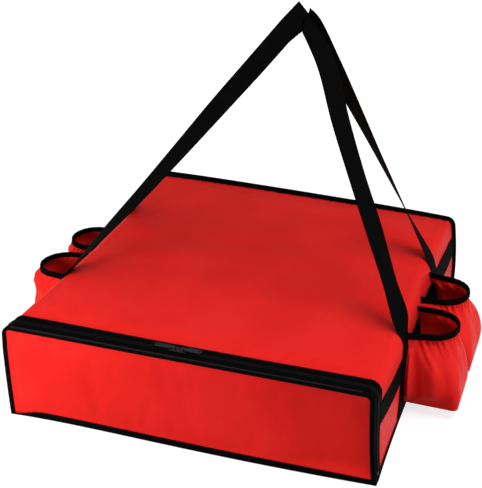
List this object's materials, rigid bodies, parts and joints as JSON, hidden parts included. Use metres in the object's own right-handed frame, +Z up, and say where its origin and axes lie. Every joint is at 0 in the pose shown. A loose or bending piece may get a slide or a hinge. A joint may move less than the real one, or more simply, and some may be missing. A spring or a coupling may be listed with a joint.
{
  "type": "insulated pizza delivery bag",
  "caption": "Low square insulated delivery bag with a zipped front flap, webbing handles drawn up to one point, and gathered cup pockets on both sides.",
  "frame": {"origin": "on the floor, below the middle of the box and of its pockets", "axes": "+X to the right seen from the zipped front, -Y towards the front flap, +Z up"},
  "size_m": [0.7904, 0.61, 0.6289],
  "materials": {
    "shell_cloth": "coated red cloth, satin",
    "foam": "closed-cell foam sheet",
    "foil_lining": "foil-faced lining",
    "binding": "black woven binding tape",
    "webbing": "black woven webbing",
    "zip_tape": "black woven zipper tape",
    "zip_coil": "black nylon coil",
    "slider_metal": "black painted zinc"
  },
  "bodies": {
    "bag": {"sleeve_outer": "shell_cloth", "sleeve_foam": "foam", "sleeve_lining": "foil_lining", "bottom_outer": "shell_cloth", "bottom_foam": "foam", "bottom_lining": "foil_lining", "back_outer": "shell_cloth", "back_foam": "foam", "back_lining": "foil_lining", "sleeve_rim_binding": "binding", "back_rim_binding": "binding", "back_bottom_binding": "binding", "left_bottom_binding": "binding", "right_bottom_binding": "binding", "sleeve_zip_tape": "zip_tape", "sleeve_zip_coil": "zip_coil", "left_zip_stop": "slider_metal", "right_zip_stop": "slider_metal", "left_side_band": "webbing", "right_side_band": "webbing", "left_front_side_strap": "webbing", "left_back_side_strap": "webbing", "right_front_side_strap": "webbing", "right_back_side_strap": "webbing", "left_front_pocket_wall": "shell_cloth", "left_front_pocket_base": "shell_cloth", "left_front_pocket_elastic": "binding", "left_back_pocket_wall": "shell_cloth", "left_back_pocket_base": "shell_cloth", "left_back_pocket_elastic": "binding", "right_front_pocket_wall": "shell_cloth", "right_front_pocket_base": "shell_cloth", "right_front_pocket_elastic": "binding", "right_back_pocket_wall": "shell_cloth", "right_back_pocket_base": "shell_cloth", "right_back_pocket_elastic": "binding"},
    "flap": {"flap_outer": "shell_cloth", "flap_foam": "foam", "flap_lining": "foil_lining", "flap_rim_binding": "binding", "flap_hinge_binding": "binding", "flap_zip_tape": "zip_tape", "flap_zip_coil": "zip_coil"},
    "left_slider": {"left_slider": "slider_metal"},
    "right_slider": {"right_slider": "slider_metal"},
    "left_pull": {"left_pull": "slider_metal"},
    "right_pull": {"right_pull": "slider_metal"},
    "front_handle": {"front_handle": "webbing"},
    "back_handle": {"back_handle": "webbing"}
  },
  "joints": [
    {"name": "flap_hinge", "type": "hinge", "parent": "bag", "child": "flap", "pos_m": [0, -0.305, 0], "axis": [1, 0, 0], "range_deg": [0, 90]},
    {"name": "left_slider_travel", "type": "slide", "parent": "bag", "child": "left_slider", "axis": [-1, 0, 0], "range_m": [0, 0.27]},
    {"name": "right_slider_travel", "type": "slide", "parent": "bag", "child": "right_slider", "axis": [1, 0, 0], "range_m": [0, 0.27]},
    {"name": "left_pull_hinge", "type": "hinge", "parent": "left_slider", "child": "left_pull", "pos_m": [-0.0069, -0.2896, 0.1728], "axis": [0, 1, 0], "range_deg": [0, 150]},
    {"name": "right_pull_hinge", "type": "hinge", "parent": "right_slider", "child": "right_pull", "pos_m": [0.0069, -0.2896, 0.1728], "axis": [0, -1, 0], "range_deg": [0, 150]},
    {"name": "front_handle_swing", "type": "hinge", "parent": "bag", "child": "front_handle", "pos_m": [0, -0.131, 0.17], "axis": [1, 0, 0], "range_deg": [0, 60]},
    {"name": "back_handle_swing", "type": "hinge", "parent": "bag", "child": "back_handle", "pos_m": [0, 0.131, 0.17], "axis": [-1, 0, 0], "range_deg": [0, 60]}
  ]
}
